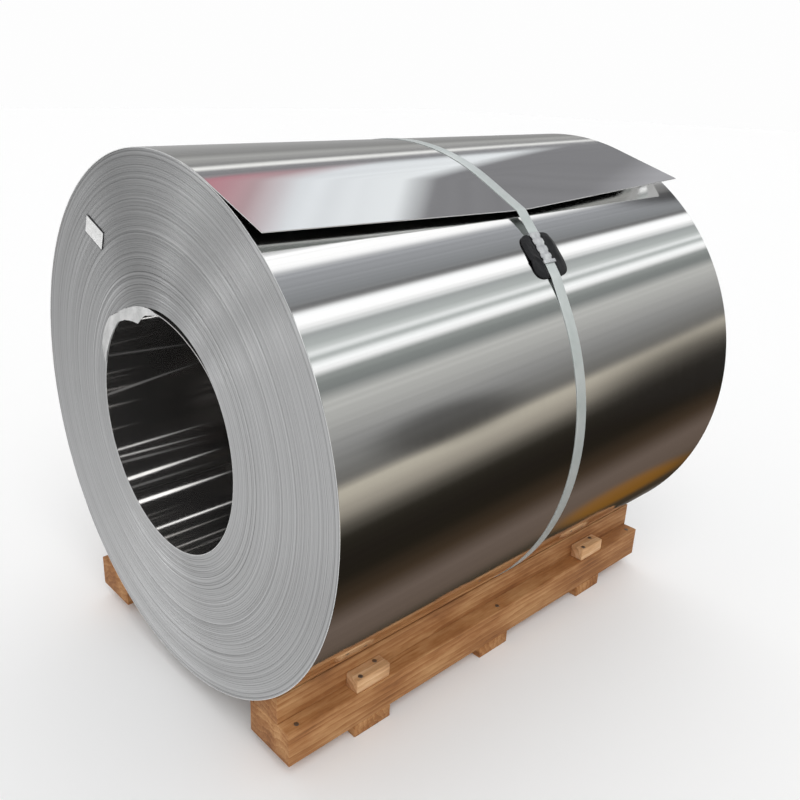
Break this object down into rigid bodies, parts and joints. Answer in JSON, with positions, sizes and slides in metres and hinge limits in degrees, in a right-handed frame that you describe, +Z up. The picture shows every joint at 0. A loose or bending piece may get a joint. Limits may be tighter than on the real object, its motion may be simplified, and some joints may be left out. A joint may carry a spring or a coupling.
{
  "type": "aluminium coil on a wooden cradle skid",
  "caption": "Wide coil of aluminium strip lying on its side in a wooden cradle skid, with a steel strap, a seal over a pad, and a sprung outer tail.",
  "frame": {"origin": "centre of the footprint at floor level", "axes": "+X along the coil's axis, away from the labelled end; -Y towards the free edge of the outermost turn; +Z up"},
  "size_m": [1.2502, 1.1097, 1.1531],
  "materials": {
    "coil_metal": "bright rolled, satin on the ends",
    "strap_metal": "satin",
    "seal_metal": "bright galvanised",
    "pad_rubber": "soft, slightly glossy",
    "label_paper": "matt white film",
    "timber": "rough sawn softwood"
  },
  "bodies": {
    "root": {"coil": "coil_metal", "strap": "strap_metal", "strap_seal": "seal_metal", "strap_pad": "pad_rubber", "end_label": "label_paper", "cradle_beam_front": "timber", "runner_front": "timber", "cleat_front_near": "timber", "cleat_front_far": "timber", "cradle_beam_back": "timber", "runner_back": "timber", "cleat_back_near": "timber", "cleat_back_far": "timber", "cross_board_near": "timber", "cross_board_middle": "timber", "cross_board_far": "timber"}
  },
  "joints": []
}
